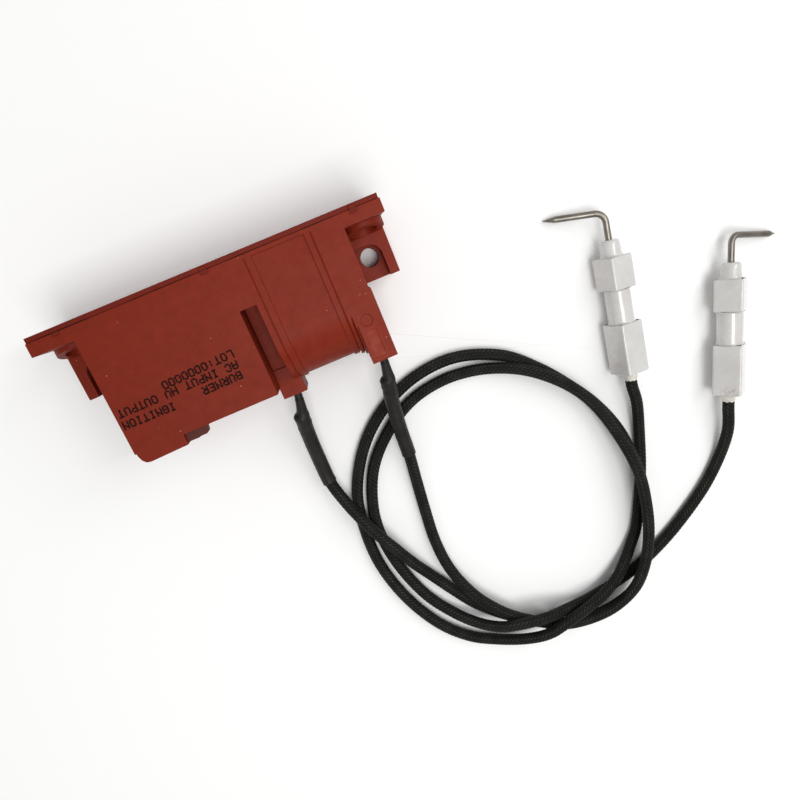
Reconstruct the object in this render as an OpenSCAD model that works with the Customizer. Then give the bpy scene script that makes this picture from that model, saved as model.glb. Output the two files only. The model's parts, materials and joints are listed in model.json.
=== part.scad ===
// Spark igniter for a burner: a potted case with a mains connector, two braided
// high-voltage leads and two ceramic electrodes with bent rods.
// Millimetres. The origin is midway between the two ear holes, on the back face.
// +X runs along the flange, +Y points to the cover, +Z from the back to the front.

/* [Case] */
// Length of the flange, from end to end
flange_l = 84; // [82:0.5:88]
// Depth of the case, from its back face to its front face
case_t = 26; // [26:0.5:28]
// Thickness of the moulded walls
wall = 1.6; // [1.4:0.1:1.8]
// Distance between the two ear holes
ear_pitch = 72.6; // [72:0.1:73]
// Diameter of each ear hole
ear_hole_d = 4.8; // [4:0.1:5.2]
// Distance between the two screw holes through the flange
flange_pitch = 74.2; // [73.6:0.1:74.4]
// Diameter of each flange screw hole
flange_hole_d = 4.2; // [3.6:0.1:4.6]
// Bore of each lead tower
tower_bore_d = 2.3; // [2.2:0.1:2.6]

/* [Cover] */
// Thickness of the cover plate
cover_t = 1.2; // [1:0.1:1.6]
// Amount by which each end of the cover stops short of the flange
cover_inset = 0.3; // [0.1:0.1:0.5]

/* [Connector] */
// Width of each blade tab
tab_w = 6.3; // [4.8:0.1:6.3]
// Thickness of each blade tab
tab_t = 0.8; // [0.5:0.1:0.8]
// Distance between the two blade tabs
tab_pitch = 6; // [5.5:0.1:6.5]

/* [Leads] */
// Diameter of the high-voltage wire
wire_d = 2.1; // [1.8:0.1:2.1]
// Outer diameter of the braided sleeve
braid_d = 3.2; // [3.1:0.1:3.2]
// Outer diameter of the heat-shrink sleeve
shrink_d = 3.9; // [3.8:0.1:4.2]

/* [Electrodes] */
// Side of the square blocks of the ceramic
block_side = 7.5; // [7:0.1:7.6]
// Diameter of the waist between the two blocks
waist_d = 6.9; // [6:0.1:7]
// Total length of the ceramic
ceramic_l = 36.8; // [34:0.1:38]
// Diameter of the electrode rod
rod_d = 1.75; // [1.5:0.05:1.8]
// Length of the bent end of the rod, from its corner to its tip
rod_reach = 16; // [14:0.5:16.5]

/* [Hidden] */
$fn = 48;
cut = 0.5;
mid_z = case_t / 2;

// Case outline
seam_y = 11.7;
arm_y = seam_y - 3.2;
body_x = 32.2;
block_x = 3.4;
block_y = -20.1;
web_half = 4;
slot_y = 0.5;

// Coil housing: each slice is [start x, end x, radius]
coil_y = -7.2;
coil_x = 7.4;
coil_end_x = 26.6;
panel_top_y = 10.7;
coil_slices = [
    [coil_x, 8.85, 13], [8.85, 9.15, 12.75], [9.15, 10.75, 13],
    [10.75, 23.3, 12.6], [23.3, 24.65, 13], [24.65, 24.95, 12.75],
    [24.95, 25.75, 13.5], [25.75, 26, 13.2], [26, coil_end_x, 14]
];

// Lead towers
left_tower_x = 6.1;
right_tower_x = 29.6;
tower_half = 3.05;
tower_half_z = 4.5;
right_tower_end_x = 32.6;
left_mouth_y = -23.2;
left_tower_top_y = -15.8;
right_mouth_y = -22.3;
bore_end_y = -17;
pin_r = 0.5;
pin_turn_y = -13;

// Connector shroud at the lower left corner
shroud_outline = [
    [-31.8, -19.5], [-31.8, -20.6], [-31.4, -21.9], [-30.6, -22.8],
    [-29.5, -23], [-20.2, -22.7], [-20.2, -19.5]
];
shroud_low_z = 24.6;
shroud_low_y = -22.4;
shroud_wall_x = -17.4;
shroud_lip_x = -14.8;
shroud_lip_t = 2;
socket_lo = [-29.9, -23.5, 6.4];
socket_hi = [-18.4, -13, 18.1];
tab_mid_x = -24.2;
tab_z = 12.25;
tab_tip_y = -21.5;
tab_stem_w = 4;

// Ears and bosses
ear_end_x = 41.9;
ear_low_y = -5.7;
ear_t = 9.6;
ear_floor_z = 5.9;
ear_recess_r = 3.1;
boss_r = 5;
boss_y = 6.2;
boss_slant = 14;
counterbore_r = 3.1;

// Cover nibs
nib_xs = [-35, 0, 35.5];
nib_l = 1.7;
nib_t = 0.3;

// Inside of the case
cavity_x = -body_x + wall;
cavity_y = -11.4;
coil_cavity_r = 11.2;
coil_cavity_x = [9, 27.6];
fill_y = 10.2;
board_y = 6;
board_t = 1.6;
lead_top_y = 8.4;
lead_r = 0.3;
lead_play = 0.05;

// Transformer
bobbin_x = [9.6, 27.2];
core_r = 3;
tube_r = 4.2;
bobbin_r = 9.5;
disc_t = 0.8;
disc_gap = (bobbin_x[1] - bobbin_x[0] - disc_t) / 5;
primary_gaps = [2];
primary_r = 6.5;
secondary_gaps = [0, 1, 3, 4];
secondary_r = 8;

// Ceramic, measured from its foot
lower_l = 14.3;
waist_l = 9.2;
neck_l = 4.5;
block_r = 0.6;
rear_bore_r = 1.75;
front_bore_r = 0.95;
rear_bore_l = 20;
ferrule_s = [7, 15];
rod_start_s = 12;
rod_corner_s = 44;

// Electrodes: foot, direction of the axis, roll of the blocks, roll of the rod's
// bent end, angle and radius of the bend, and length of the taper
left_foot = [91.5, -56.05, 4.8];
left_heading = 81.4;
left_block_roll = 21;
left_tip_roll = 166;
left_bend = 84.8;
left_bend_r = 2.9;
left_taper = 3.2;
right_foot = [116.6, -73.5, 5.2];
right_heading = 73.1;
right_block_roll = 49;
right_tip_roll = 15.5;
right_bend = 92.7;
right_bend_r = 2.3;
right_taper = 2.3;

// Free routes of the two leads, from the tower bore to just before the ceramic
left_free = [
    [6.1, -17, 13], [6.1, -23.2, 13], [5.7, -25.9, 12.7], [4.5, -30, 11.2], [3.6, -36.5, 8],
    [3.1, -44, 5.2], [3, -51.5, 3.7], [4.5, -58, 4.4], [6.5, -64, 5.2], [9, -70.5, 5.4],
    [12, -77, 5], [15, -84, 3.6], [18.5, -91, 2], [22.5, -98, 1.7], [27, -105, 1.7],
    [33, -111.5, 1.7], [40, -117.5, 1.7], [48.5, -122.8, 1.7], [58, -124.8, 1.7],
    [66.5, -123.5, 2.8], [73.5, -119, 4.8], [79, -111.5, 5.1], [82.5, -102.5, 5.1],
    [84.5, -92.5, 5.1], [85, -82.5, 5], [84, -71.5, 3.2], [80.5, -62, 1.8],
    [75, -53.5, 1.7], [68.5, -45.5, 1.7], [60, -38, 1.7], [48, -33.5, 1.7],
    [36, -34, 1.7], [25, -38.5, 1.7], [15.5, -46.5, 1.7], [8.5, -58, 1.7],
    [6, -70, 1.7], [6, -82, 1.7], [9, -94.5, 1.7], [14.5, -106, 1.7],
    [21.5, -114.2, 1.7], [29.5, -119.2, 2], [37, -120.6, 5], [43.5, -119.9, 8],
    [50, -118.4, 8.5], [58, -117.6, 6.8], [64, -116.6, 5.2], [69, -114, 4.4],
    [73.5, -110.5, 3], [77, -107, 1.9], [80, -103, 1.7], [83.5, -95, 1.7],
    [87, -85.5, 1.7], [89.5, -76, 2], [91, -66, 3.9]
];
right_free = [
    [29.6, -17, 13], [29.6, -22.3, 13], [29.3, -25.2, 12.7], [28.4, -30, 11.2],
    [27.3, -36.5, 8.6], [26.5, -44, 6.4], [26, -53, 3.8], [25, -62, 2], [24, -71, 1.7],
    [23.2, -80, 1.7], [23.5, -88, 2.2], [25, -94.5, 3.4], [28, -101.5, 4.3],
    [32, -107.5, 4.8], [36, -112, 4.8], [41.5, -116.5, 4.8], [48.5, -121, 4.9],
    [57, -123, 4.9], [65, -121.8, 6], [72.2, -117, 7.9], [77.5, -110, 8.4],
    [81, -102, 8.4], [83, -93.5, 8.3], [83.8, -84, 8.3], [82.8, -74, 7], [80, -63, 5.1],
    [75.5, -54.5, 5], [68.5, -47, 4.8], [61, -42, 3.8], [52, -39, 1.8], [42, -38, 1.7],
    [32, -40, 1.7], [23, -45.5, 1.7], [15.4, -53.5, 1.7], [10.8, -64, 1.7],
    [9.6, -74, 1.7], [11, -85, 1.7], [14.6, -96, 1.7], [20, -104.5, 2.4],
    [25.5, -109.5, 4.6], [31, -112, 7], [36, -113, 8.1], [41, -114, 8.2],
    [46, -115.2, 7.4], [51, -116.6, 5.2], [56.5, -117.8, 3.3], [62, -118.2, 2],
    [68.5, -117.3, 1.7], [77, -115, 1.7], [87, -110.5, 1.7], [96, -105, 1.7],
    [104, -99, 1.7], [110.5, -92, 2], [114, -84.5, 4]
];

// The last points lie on the ceramic's axis, at these distances from its foot
axis_stops = [-4, 0, 5, 10];
function along_axis(foot, heading, s) = foot + s * [cos(heading), sin(heading), 0];
left_route = concat(left_free, [for (s = axis_stops) along_axis(left_foot, left_heading, s)]);
right_route = concat(right_free, [for (s = axis_stops) along_axis(right_foot, right_heading, s)]);

// Stretches of a route, counted in its points
shrink_span = [2.9, 6];
braid_start = 3.1;
cord_sides = 8;
braid_bore_r = 1.25;
shrink_bore_r = 1.68;
shrink_swell = [-0.15, 0.12, 0, 0, 0];

// ---- Shared shapes ----

module box(lo, hi) {
    translate(lo) cube(hi - lo);
}

module both_ends() {
    children();
    mirror([1, 0, 0]) children();
}

// Cylinder along +Y or +X, starting at a point
module rod_y(start, r, l) {
    translate(start) rotate([-90, 0, 0]) cylinder(r = r, h = l);
}

module rod_x(start, r, l) {
    translate(start) rotate([0, 90, 0]) cylinder(r = r, h = l);
}

// Ring between two radii along +X
module ring_x(x, inner_r, outer_r, l) {
    difference() {
        rod_x([x, coil_y, mid_z], outer_r, l);
        rod_x([x - cut, coil_y, mid_z], inner_r, l + 2 * cut);
    }
}

// ---- Case ----

// Round-bottomed outline of the coil housing, extruded along X
module coil_slice(x0, x1, r, top_y) {
    translate([x0, 0, 0]) rotate([90, 0, 90]) linear_extrude(x1 - x0) intersection() {
        union() {
            translate([coil_y, mid_z]) circle(r, $fn = 96);
            translate([coil_y, mid_z - r]) square([top_y - coil_y, 2 * r]);
        }
        translate([coil_y - 2 * r, 0]) square([4 * r, case_t]);
    }
}

module coil_housing() {
    for (s = coil_slices) coil_slice(s[0], s[1] + 0.01, s[2], panel_top_y);
    box([block_x, panel_top_y, 0], [coil_end_x, seam_y, case_t]);
}

module towers() {
    box([left_tower_x - tower_half, left_mouth_y, mid_z - tower_half_z],
        [left_tower_x + tower_half, left_tower_top_y, mid_z + tower_half_z]);
    box([coil_end_x - 0.1, right_mouth_y, 0], [right_tower_end_x, ear_low_y, case_t]);
    box([coil_end_x - 0.1, ear_low_y - cut, 0], [body_x, seam_y, case_t]);
}

module web() {
    box([block_x - cut, slot_y, 0], [coil_x + cut, seam_y, case_t]);
    box([block_x - cut, left_tower_top_y - cut, mid_z - web_half], [coil_x + cut, slot_y + cut, mid_z + web_half]);
}

module connector_shroud() {
    start_x = -21;
    linear_extrude(case_t) polygon(shroud_outline);
    box([start_x, shroud_low_y, 0], [shroud_wall_x, block_y + cut, shroud_low_z]);
    translate([0, 0, shroud_low_z - shroud_lip_t]) linear_extrude(shroud_lip_t) polygon([
        [start_x, shroud_low_y], [shroud_lip_x - 0.7, shroud_low_y + 0.2],
        [shroud_lip_x - 0.2, shroud_low_y + 0.5], [shroud_lip_x, shroud_low_y + 1],
        [shroud_lip_x, block_y + cut], [start_x, block_y + cut]
    ]);
}

module ear() {
    box([body_x - cut, ear_low_y, 0], [ear_end_x, arm_y + cut, ear_t]);
    boss();
    box([body_x - cut, arm_y, 0], [flange_l / 2, seam_y, case_t]);
}

// Round boss under the flange, with its end cut at a slant
module boss() {
    difference() {
        rod_y([flange_pitch / 2, boss_y - 1.3, mid_z], boss_r, arm_y - boss_y + 1.3 + cut);
        translate([flange_pitch / 2, boss_y, mid_z]) rotate([-boss_slant, 0, 0])
            box([-boss_r - cut, -3, -1.2 * boss_r], [boss_r + cut, 0, 1.2 * boss_r]);
    }
}

module ear_cuts() {
    hole_x = ear_pitch / 2;
    rim_x = hole_x + ear_recess_r;
    translate([hole_x, 0, -cut]) cylinder(d = ear_hole_d, h = ear_t + 2 * cut);
    translate([hole_x, 0, ear_floor_z]) cylinder(r = ear_recess_r, h = ear_t);
    box([body_x, ear_low_y - cut, ear_floor_z], [rim_x, 0, ear_t + cut]);
    box([body_x, -cut, ear_floor_z], [hole_x, ear_recess_r, ear_t + cut]);
    rod_y([flange_pitch / 2, 4, mid_z], flange_hole_d / 2, seam_y);
    rod_y([flange_pitch / 2, 4, mid_z], counterbore_r, arm_y - 4);
}

// Room inside the case, up to a given height
module cavity(top_y) {
    box([cavity_x, cavity_y, wall], [block_x - wall, top_y, case_t - wall]);
    box([-15, block_y + wall, wall], [block_x - wall, cavity_y + cut, case_t - wall]);
    box([block_x - wall - cut, 2, 2 * wall], [coil_cavity_x[0] + cut, top_y, case_t - 2 * wall]);
    coil_slice(coil_cavity_x[0], coil_cavity_x[1], coil_cavity_r, top_y);
}

// Wire bore of a tower and the pin's passage from it into the coil space
module tower_bore(x, mouth_y, inner_x) {
    rod_y([x, mouth_y - cut, mid_z], tower_bore_d / 2, bore_end_y - mouth_y + cut);
    pin_path(x, inner_x, pin_r + 0.02);
}

module pin_path(x, inner_x, r) {
    rod_y([x, bore_end_y, mid_z], r, pin_turn_y - bore_end_y);
    translate([x, pin_turn_y, mid_z]) sphere(r);
    rod_x([min(x, inner_x), pin_turn_y, mid_z], r, abs(inner_x - x));
}

module tab_stem(x, play) {
    box([x - tab_t / 2 - play, socket_hi[1] - cut, tab_z - tab_stem_w / 2 - play],
        [x + tab_t / 2 + play, lead_top_y, tab_z + tab_stem_w / 2 + play]);
}

module gate_mark() {
    translate([28.9, -12.2, case_t - 0.15]) cylinder(r = 1.4, h = cut);
    box([27.4, -21.2, case_t - 0.15], [30.2, -14.6, case_t + cut]);
}

module housing_shell() {
    color("#82301f")
    difference() {
        union() {
            box([-body_x, block_y, 0], [block_x, seam_y, case_t]);
            coil_housing();
            web();
            towers();
            connector_shroud();
            both_ends() ear();
        }
        cavity(seam_y + cut);
        both_ends() ear_cuts();
        tower_bore(left_tower_x, left_mouth_y, coil_cavity_x[0] + cut);
        tower_bore(right_tower_x, right_mouth_y, coil_cavity_x[1] - cut);
        box(socket_lo, socket_hi);
        for (side = [-1, 1]) tab_stem(tab_mid_x + side * tab_pitch / 2, 0.05);
        gate_mark();
    }
}

// Small tongue that grows from the cover's edge and hooks over the seam
module cover_nib(x) {
    box([x - nib_l / 2, seam_y, case_t - cut], [x + nib_l / 2, seam_y + 0.8, case_t + nib_t]);
    box([x - nib_l / 2, seam_y - 0.9, case_t], [x + nib_l / 2, seam_y + cut, case_t + nib_t]);
}

// Cover plate with its locating rim and its three nibs
module base_cover() {
    end_x = flange_l / 2 - cover_inset;
    rim_lo = [cavity_x + 0.2, fill_y + 0.1, 3.6];
    rim_hi = [coil_cavity_x[1] - 0.2, seam_y + 0.01, case_t - 3.6];
    color("#6a2418")
    difference() {
        union() {
            box([-end_x, seam_y, 0], [end_x, seam_y + cover_t, case_t]);
            difference() {
                box(rim_lo, rim_hi);
                box(rim_lo + [1.2, -cut, 1.2], rim_hi + [-1.2, cut, -1.2]);
            }
            for (x = nib_xs) cover_nib(x);
        }
        both_ends()
            rod_y([flange_pitch / 2, seam_y - cut, mid_z], flange_hole_d / 2, cover_t + 2 * cut);
    }
}

// ---- Inside the case ----

// Two legs that rise through the board, at x positions and one z
module legs(xs, z, from_y, play) {
    for (x = xs) rod_y([x, from_y, z], lead_r + play, lead_top_y - from_y + play);
}

capacitor_legs = [-12, -2];
capacitor_z = 7;
resistor_legs = [-17.8, -8.7];
resistor_zs = [14.5, 18];
diode_legs = [-28.6, -20.2];
diode_z = 20.5;
trigger_legs = [-7, -5.75, -4.5];
trigger_z = 15.8;
part_y = 4.3;

module all_legs(play) {
    legs(capacitor_legs, capacitor_z, board_y - cut, play);
    for (z = resistor_zs) legs(resistor_legs, z, part_y, play);
    legs(diode_legs, diode_z, part_y, play);
    legs(trigger_legs, trigger_z, board_y - cut, play);
}

module board_blank() {
    box([-30, board_y, 2.4], [block_x - wall - 0.3, board_y + board_t, case_t - 2.4]);
}

module circuit_board() {
    color("#3b6b3a")
    difference() {
        board_blank();
        all_legs(lead_play);
        for (side = [-1, 1]) tab_stem(tab_mid_x + side * tab_pitch / 2, lead_play);
    }
}

module storage_capacitor() {
    color("#b5772a") {
        box([-13.5, -8, 3.5], [-0.5, board_y - 0.4, 10.5]);
        legs(capacitor_legs, capacitor_z, board_y - cut, 0);
    }
}

// Round body on a straight wire whose ends turn up through the board
module axial_part(xs, z, r, l) {
    mid_x = (xs[0] + xs[1]) / 2;
    rod_x([mid_x - l / 2, part_y, z], r, l);
    rod_x([xs[0], part_y, z], lead_r, xs[1] - xs[0]);
    for (x = xs) translate([x, part_y, z]) sphere(lead_r, $fn = 24);
    legs(xs, z, part_y, 0);
}

module charging_resistors() {
    color("#c9a36a") for (z = resistor_zs) axial_part(resistor_legs, z, 1.2, 6.5);
}

module rectifier_diode() {
    color("#222222") axial_part(diode_legs, diode_z, 1.35, 5.2);
}

module trigger_device() {
    color("#2a2a2a") {
        box([-8, 1, 14], [-3.5, board_y - 0.4, 17.6]);
        legs(trigger_legs, trigger_z, board_y - cut, 0);
    }
}

module transformer_core() {
    color("#3c3c40") rod_x([bobbin_x[0], coil_y, mid_z], core_r, bobbin_x[1] - bobbin_x[0]);
}

module bobbin_blank() {
    rod_x([bobbin_x[0], coil_y, mid_z], tube_r, bobbin_x[1] - bobbin_x[0]);
    for (k = [0:5]) rod_x([bobbin_x[0] + k * disc_gap, coil_y, mid_z], bobbin_r, disc_t);
}

module transformer_bobbin() {
    color("#d8cfa8")
    difference() {
        bobbin_blank();
        rod_x([bobbin_x[0] - cut, coil_y, mid_z], core_r, bobbin_x[1] - bobbin_x[0] + 2 * cut);
    }
}

// Winding that fills the space after one disc
module winding(k, outer_r) {
    ring_x(bobbin_x[0] + k * disc_gap + disc_t, tube_r, outer_r, disc_gap - disc_t);
}

module primary_winding() {
    color("#b0562a") for (k = primary_gaps) winding(k, primary_r);
}

module secondary_winding() {
    color("#c77b3c") for (k = secondary_gaps) winding(k, secondary_r);
}

module mains_tab(x) {
    color("#c9c6bd")
    difference() {
        union() {
            box([x - tab_t / 2, tab_tip_y, tab_z - tab_w / 2],
                [x + tab_t / 2, socket_hi[1], tab_z + tab_w / 2]);
            tab_stem(x, 0);
        }
        rod_x([x - tab_t, tab_tip_y + 3.2, tab_z], 0.85, 2 * tab_t);
        for (side = [-1, 1])
            translate([x, tab_tip_y, tab_z + side * tab_w / 2]) rotate([45, 0, 0]) cube([2, 1.4, 1.4], center = true);
    }
}

module mains_tab_line() mains_tab(tab_mid_x - tab_pitch / 2);
module mains_tab_neutral() mains_tab(tab_mid_x + tab_pitch / 2);

module left_hv_pin() {
    color("#c9c6bd") pin_path(left_tower_x, bobbin_x[0], pin_r);
}

module right_hv_pin() {
    color("#c9c6bd") pin_path(right_tower_x, bobbin_x[1], pin_r);
}

// Sealing resin around everything in the case, below the cover's rim
module potting_resin() {
    color("#3a3632")
    difference() {
        cavity(fill_y);
        board_blank();
        all_legs(0);
        storage_capacitor();
        charging_resistors();
        rectifier_diode();
        trigger_device();
        bobbin_blank();
        for (k = primary_gaps) rod_x([bobbin_x[0] + k * disc_gap, coil_y, mid_z], primary_r, disc_gap);
        for (k = secondary_gaps) rod_x([bobbin_x[0] + k * disc_gap, coil_y, mid_z], secondary_r, disc_gap);
        for (side = [-1, 1]) tab_stem(tab_mid_x + side * tab_pitch / 2, 0);
        pin_path(left_tower_x, bobbin_x[0], pin_r);
        pin_path(right_tower_x, bobbin_x[1], pin_r);
    }
}

// ---- Leads ----

function unit(v) = v / norm(v);

// Point on a smooth curve through a route, at u counted in its points
function on_route(p, u) =
    let (
        last = len(p) - 1,
        i = min(floor(u), last - 1),
        t = u - i,
        leave = (p[i + 1] - p[max(i - 1, 0)]) / 2,
        arrive = (p[min(i + 2, last)] - p[i]) / 2
    )
    p[i] * (2 * t ^ 3 - 3 * t ^ 2 + 1) + leave * (t ^ 3 - 2 * t ^ 2 + t)
    + p[i + 1] * (3 * t ^ 2 - 2 * t ^ 3) + arrive * (t ^ 3 - t ^ 2);

function route_heading(p, u) =
    unit(on_route(p, min(u + 0.05, len(p) - 1)) - on_route(p, max(u - 0.05, 0)));

// One ring of corners around a route
function cord_ring(p, u, r) =
    let (
        h = route_heading(p, u),
        side = unit(cross(h, [0, 0, 1])),
        up = cross(side, h)
    )
    [for (k = [0 : cord_sides - 1])
        let (a = 360 * (k + 0.5) / cord_sides)
        on_route(p, u) + r * (cos(a) * side + sin(a) * up)];

// Places of the rings on a stretch: its two ends and every route point between
function stations(span) =
    concat([span[0]], [for (k = [floor(span[0]) + 1 : ceil(span[1]) - 1]) k], [span[1]]);

// Triangles between ring a and ring b
function skin(a, b) =
    [for (k = [0 : cord_sides - 1])
        let (n = (k + 1) % cord_sides)
        each [
            [a * cord_sides + k, a * cord_sides + n, b * cord_sides + n],
            [a * cord_sides + k, b * cord_sides + n, b * cord_sides + k]
        ]];

module solid_cord(p, span, r) {
    us = stations(span);
    rings = [for (u = us) cord_ring(p, u, r)];
    last = len(us) - 1;
    sides = [for (k = [0 : last - 1]) each skin(k, k + 1)];
    start_cap = [for (k = [cord_sides - 1 : -1 : 0]) k];
    end_cap = [for (k = [0 : cord_sides - 1]) last * cord_sides + k];
    polyhedron([for (q = rings) each q], concat(sides, [start_cap, end_cap]), convexity = 10);
}

// Tube whose outer rings run forward and whose inner rings run back
module hollow_cord(p, span, inner_r, outer_rs) {
    us = stations(span);
    last = len(us) - 1;
    top = len(outer_rs) - 1;
    outer = [for (k = [0 : last]) cord_ring(p, us[k], outer_rs[min(k, top)])];
    inner = [for (k = [last : -1 : 0]) cord_ring(p, us[k], inner_r)];
    count = 2 * len(us);
    faces = [for (k = [0 : count - 1]) each skin(k, (k + 1) % count)];
    polyhedron([for (q = concat(outer, inner)) each q], faces, convexity = 10);
}

module hv_wire(p) {
    color("#1d1d1b") solid_cord(p, [0, len(p) - 1], wire_d / 2);
}

module braid_sleeve(p) {
    color("#2a2a27") hollow_cord(p, [braid_start, len(p) - 2], braid_bore_r, [braid_d / 2]);
}

module shrink_sleeve(p) {
    color("#262322")
        hollow_cord(p, shrink_span, shrink_bore_r, [for (d = shrink_swell) shrink_d / 2 + d]);
}

module left_hv_wire() hv_wire(left_route);
module left_braid_sleeve() braid_sleeve(left_route);
module left_shrink_sleeve() shrink_sleeve(left_route);
module right_hv_wire() hv_wire(right_route);
module right_braid_sleeve() braid_sleeve(right_route);
module right_shrink_sleeve() shrink_sleeve(right_route);

// ---- Electrodes ----

// Puts a shape that stands on +Z onto an electrode's axis
module on_axis(foot, heading, roll) {
    translate(foot) rotate([0, 0, heading - 90]) rotate([-90, 0, 0]) rotate([0, 0, roll]) children();
}

module rounded_square(side, r) {
    square([side - 2 * r, side], center = true);
    square([side, side - 2 * r], center = true);
    for (x = [-1, 1], y = [-1, 1]) translate([x, y] * (side / 2 - r)) circle(r);
}

module neck_profile() {
    foot_r = 2.9;
    rim_r = 2.65;
    polygon([
        [0, 0], [foot_r, 0], [rim_r, neck_l - 0.9], [rim_r - 0.12, neck_l - 0.5],
        [rim_r - 0.35, neck_l - 0.22], [rim_r - 0.65, neck_l - 0.06], [rim_r - 0.95, neck_l], [0, neck_l]
    ]);
}

module ceramic_body() {
    upper_l = ceramic_l - lower_l - waist_l - neck_l;
    color("#e8e6e3")
    difference() {
        union() {
            linear_extrude(lower_l) rounded_square(block_side, block_r);
            translate([0, 0, lower_l - cut]) cylinder(d = waist_d, h = waist_l + 2 * cut);
            translate([0, 0, lower_l + waist_l]) linear_extrude(upper_l) rounded_square(block_side, block_r);
            translate([0, 0, ceramic_l - neck_l]) rotate_extrude() neck_profile();
        }
        translate([0, 0, -cut]) cylinder(r = rear_bore_r, h = rear_bore_l + cut);
        cylinder(r = front_bore_r, h = ceramic_l + cut);
    }
}

module wire_ferrule() {
    step_s = 11;
    color("#b9b4a6")
    difference() {
        translate([0, 0, ferrule_s[0]]) cylinder(r = 1.5, h = ferrule_s[1] - ferrule_s[0]);
        translate([0, 0, ferrule_s[0] - cut]) cylinder(r = wire_d / 2, h = step_s - ferrule_s[0] + cut);
        cylinder(r = rod_d / 2, h = ferrule_s[1] + cut);
    }
}

// Collar of adhesive on the lead, spread onto the ceramic's lower face
module glue_neck() {
    color("#dedad0") rotate_extrude()
        polygon([[1.62, -2.6], [1.8, -2.6], [2, -1.4], [2.25, -0.6], [2.8, 0], [1.62, 0]]);
}

// Straight rod, round bend towards +X, and bent end with a tapered tip. The bend is
// a hair thinner than the rod and runs into both of its straight ends.
module electrode_rod(bend, bend_r, taper) {
    r = rod_d / 2;
    lap = 0.05;
    corner = bend_r * tan(bend / 2);
    straight_l = rod_corner_s - corner - rod_start_s;
    color("#8f897c") {
        translate([0, 0, rod_start_s]) cylinder(r = r, h = straight_l + lap);
        translate([bend_r, 0, rod_corner_s - corner]) rotate([90, 0, 0]) rotate([0, 0, 180 - bend])
            rotate_extrude(angle = bend) translate([bend_r, 0]) circle(r - 0.01);
        translate([0, 0, rod_corner_s]) rotate([0, bend, 0]) rotate_extrude()
            polygon([
                [0, corner - lap], [r, corner - lap], [r, rod_reach - taper],
                [0.15, rod_reach], [0, rod_reach]
            ]);
    }
}

module left_glue_neck() on_axis(left_foot, left_heading, 0) glue_neck();
module left_wire_ferrule() on_axis(left_foot, left_heading, 0) wire_ferrule();
module left_ceramic_body() on_axis(left_foot, left_heading, left_block_roll) ceramic_body();
module left_electrode_rod() on_axis(left_foot, left_heading, left_tip_roll)
    electrode_rod(left_bend, left_bend_r, left_taper);
module right_glue_neck() on_axis(right_foot, right_heading, 0) glue_neck();
module right_wire_ferrule() on_axis(right_foot, right_heading, 0) wire_ferrule();
module right_ceramic_body() on_axis(right_foot, right_heading, right_block_roll) ceramic_body();
module right_electrode_rod() on_axis(right_foot, right_heading, right_tip_roll)
    electrode_rod(right_bend, right_bend_r, right_taper);

housing_shell();
base_cover();
potting_resin();
circuit_board();
storage_capacitor();
charging_resistors();
rectifier_diode();
trigger_device();
transformer_core();
transformer_bobbin();
primary_winding();
secondary_winding();
mains_tab_line();
mains_tab_neutral();
left_hv_pin();
left_hv_wire();
left_braid_sleeve();
left_shrink_sleeve();
left_glue_neck();
left_wire_ferrule();
left_ceramic_body();
left_electrode_rod();
right_hv_pin();
right_hv_wire();
right_braid_sleeve();
right_shrink_sleeve();
right_glue_neck();
right_wire_ferrule();
right_ceramic_body();
right_electrode_rod();
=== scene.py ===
"""Looks of a spark igniter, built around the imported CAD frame.

The model is in metres, in the frame of the CAD. Routes, braids, sleeves, collars and printed marks
are worked out in millimetres and turned into metres when their meshes are made.
"""

import json
import math
import random

import bmesh
import bpy
import numpy as np
from mathutils import Matrix, Vector

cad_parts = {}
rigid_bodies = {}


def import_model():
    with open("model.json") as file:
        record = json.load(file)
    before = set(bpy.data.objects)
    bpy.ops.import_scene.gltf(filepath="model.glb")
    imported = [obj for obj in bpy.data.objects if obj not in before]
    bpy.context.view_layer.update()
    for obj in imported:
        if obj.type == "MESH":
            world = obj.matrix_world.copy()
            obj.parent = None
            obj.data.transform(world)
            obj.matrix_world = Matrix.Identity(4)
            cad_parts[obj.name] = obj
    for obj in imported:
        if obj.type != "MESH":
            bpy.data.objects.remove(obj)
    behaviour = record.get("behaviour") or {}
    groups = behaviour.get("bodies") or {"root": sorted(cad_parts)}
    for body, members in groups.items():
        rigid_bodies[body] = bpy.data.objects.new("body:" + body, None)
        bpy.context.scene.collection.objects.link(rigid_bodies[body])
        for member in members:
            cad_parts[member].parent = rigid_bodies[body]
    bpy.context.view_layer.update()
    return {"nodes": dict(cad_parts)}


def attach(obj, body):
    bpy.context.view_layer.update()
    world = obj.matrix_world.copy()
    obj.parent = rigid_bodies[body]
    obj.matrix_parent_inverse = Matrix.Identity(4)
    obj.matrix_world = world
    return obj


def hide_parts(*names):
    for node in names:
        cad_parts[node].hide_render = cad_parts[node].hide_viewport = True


for leftover in list(bpy.data.objects):
    bpy.data.objects.remove(leftover)
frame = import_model()
NODES = frame["nodes"]
MM = 0.001
random.seed(7)

# ---- Camera ----

# Place and directions fitted to the photograph
CAMERA_AT = (25.25, 3.52, 175.87)
CAMERA_RIGHT = (0.9202, -0.3750, 0.1127)
CAMERA_BACK = (-0.0236, 0.2341, 0.9719)
LENS = 29.36

camera_data = bpy.data.cameras.new("camera")
camera_data.sensor_width = 36.0
camera_data.lens = LENS
camera_data.clip_start = 0.005
camera = bpy.data.objects.new("camera", camera_data)
bpy.context.scene.collection.objects.link(camera)
back = Vector(CAMERA_BACK).normalized()
up = back.cross(Vector(CAMERA_RIGHT).normalized()).normalized()
turned = Matrix((up.cross(back), up, back)).transposed().to_4x4()
camera.matrix_world = Matrix.Translation(Vector(CAMERA_AT) * MM) @ turned
bpy.context.scene.camera = camera

# ---- Routes of the two leads, in millimetres as in the CAD source ----

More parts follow.
